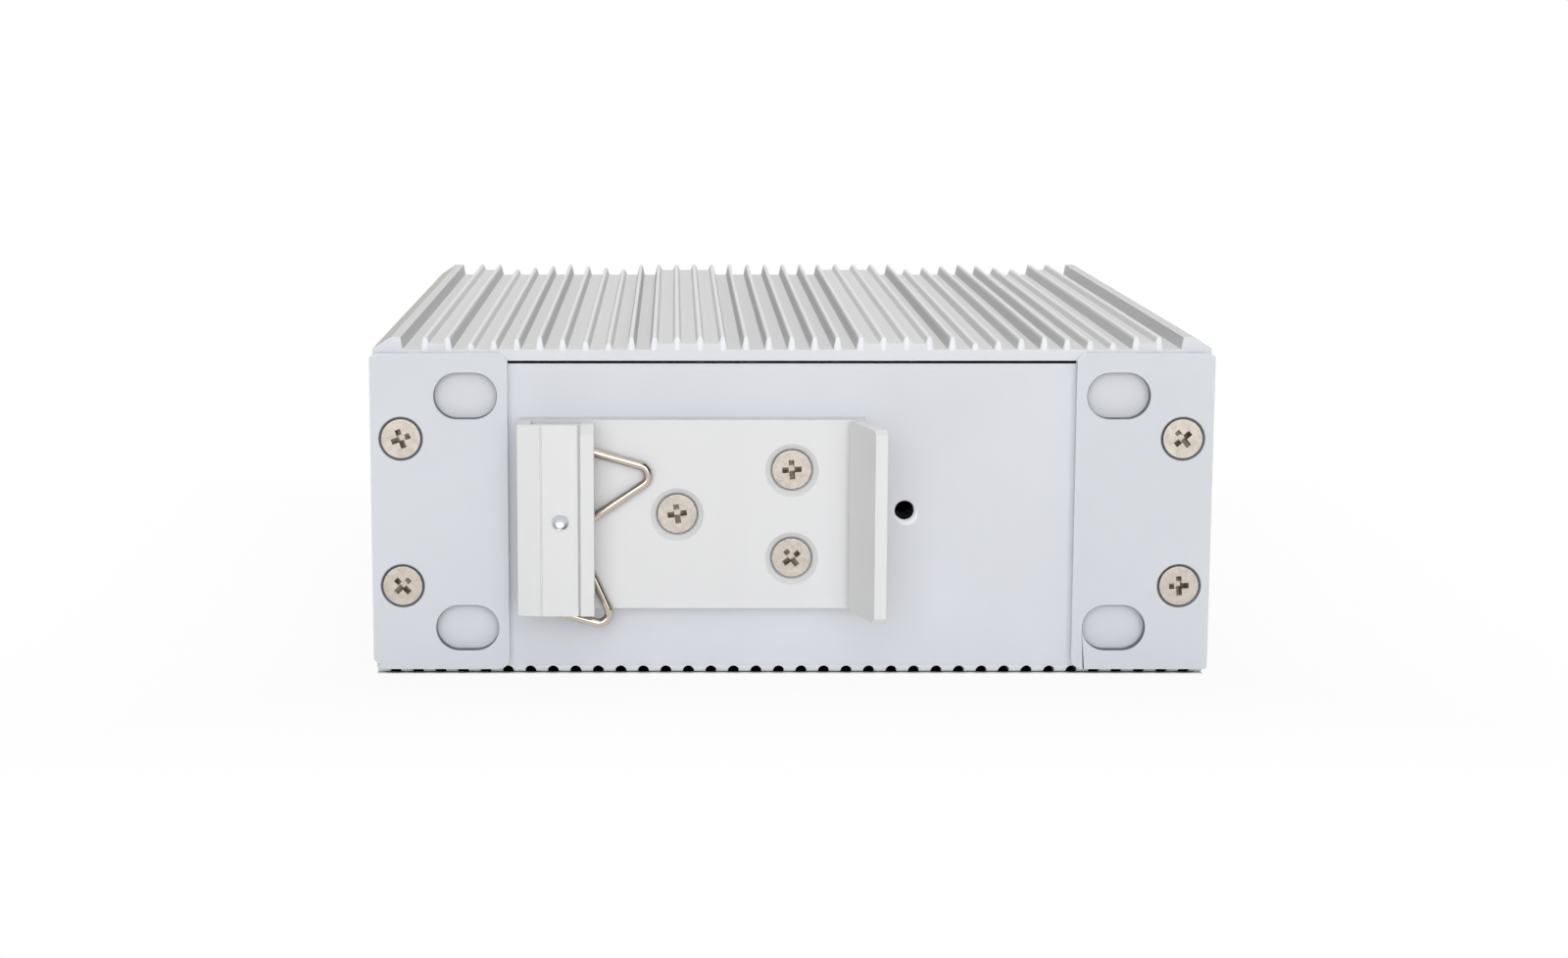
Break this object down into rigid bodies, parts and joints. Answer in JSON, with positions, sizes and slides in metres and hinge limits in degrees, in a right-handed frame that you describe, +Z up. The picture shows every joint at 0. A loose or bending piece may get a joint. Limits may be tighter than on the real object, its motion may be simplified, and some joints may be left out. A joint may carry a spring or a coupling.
{
  "type": "rail mounted ethernet switch",
  "caption": "Compact industrial network switch in a finned metal case, with a spring clip for a 35 mm rail on its back and stored wall ears.",
  "frame": {"origin": "centre of the case's bottom face, which is the slotted side that it stands on in the picture", "axes": "+Z up through the finned side, +Y from the rail clip side to the port side, +X to the right seen from the clip side"},
  "size_m": [0.1104, 0.1314, 0.045],
  "materials": {
    "cover_coat": "satin silver-grey powder coat",
    "panel_coat": "satin silver-grey powder coat",
    "ear_coat": "satin silver-grey powder coat",
    "nickel_screws": "nickel-plated",
    "clip_aluminium": "matt anodised",
    "spring_wire": "bright spring wire",
    "plated_steel": "zinc-plated",
    "brass_plated": "satin brass",
    "board_laminate": "solder-masked laminate",
    "header_plastic": "moulded",
    "contact_gold": "gold flash",
    "clear_plastic": "clear moulded",
    "led_body": "moulded",
    "chip_black": "moulded package",
    "ferrite": "moulded coil",
    "pad_rubber": "soft thermal pad",
    "bare_aluminium": "milled",
    "jack_metal": "tin-plated",
    "jack_plastic": "moulded"
  },
  "bodies": {
    "root": {"board_screws": "nickel_screws", "board_standoffs": "plated_steel", "capacitors": "bare_aluminium", "chassis_tray": "panel_coat", "circuit_board": "board_laminate", "clip_screws": "nickel_screws", "clip_spring": "spring_wire", "clock_crystal": "jack_metal", "ear_screws": "nickel_screws", "finned_cover": "cover_coat", "front_panel": "panel_coat", "front_screws": "nickel_screws", "ground_nut": "plated_steel", "ground_screw": "brass_plated", "ground_washer": "plated_steel", "header_pins": "contact_gold", "heat_block": "bare_aluminium", "heat_block_screws": "nickel_screws", "indicator_leds": "led_body", "jack_body_1": "jack_plastic", "jack_body_2": "jack_plastic", "jack_body_3": "jack_plastic", "jack_body_4": "jack_plastic", "jack_body_5": "jack_plastic", "jack_contacts_1": "contact_gold", "jack_contacts_2": "contact_gold", "jack_contacts_3": "contact_gold", "jack_contacts_4": "contact_gold", "jack_contacts_5": "contact_gold", "jack_shell_1": "jack_metal", "jack_shell_2": "jack_metal", "jack_shell_3": "jack_metal", "jack_shell_4": "jack_metal", "jack_shell_5": "jack_metal", "light_pipes": "clear_plastic", "lip_screws": "nickel_screws", "memory_chip": "chip_black", "port_magnetics": "chip_black", "power_converter": "chip_black", "power_header": "header_plastic", "power_inductor": "ferrite", "rail_clip": "clip_aluminium", "switch_chip": "chip_black", "thermal_pads": "pad_rubber", "threaded_bosses": "plated_steel", "wall_ear_left": "ear_coat", "wall_ear_right": "ear_coat"}
  },
  "joints": []
}
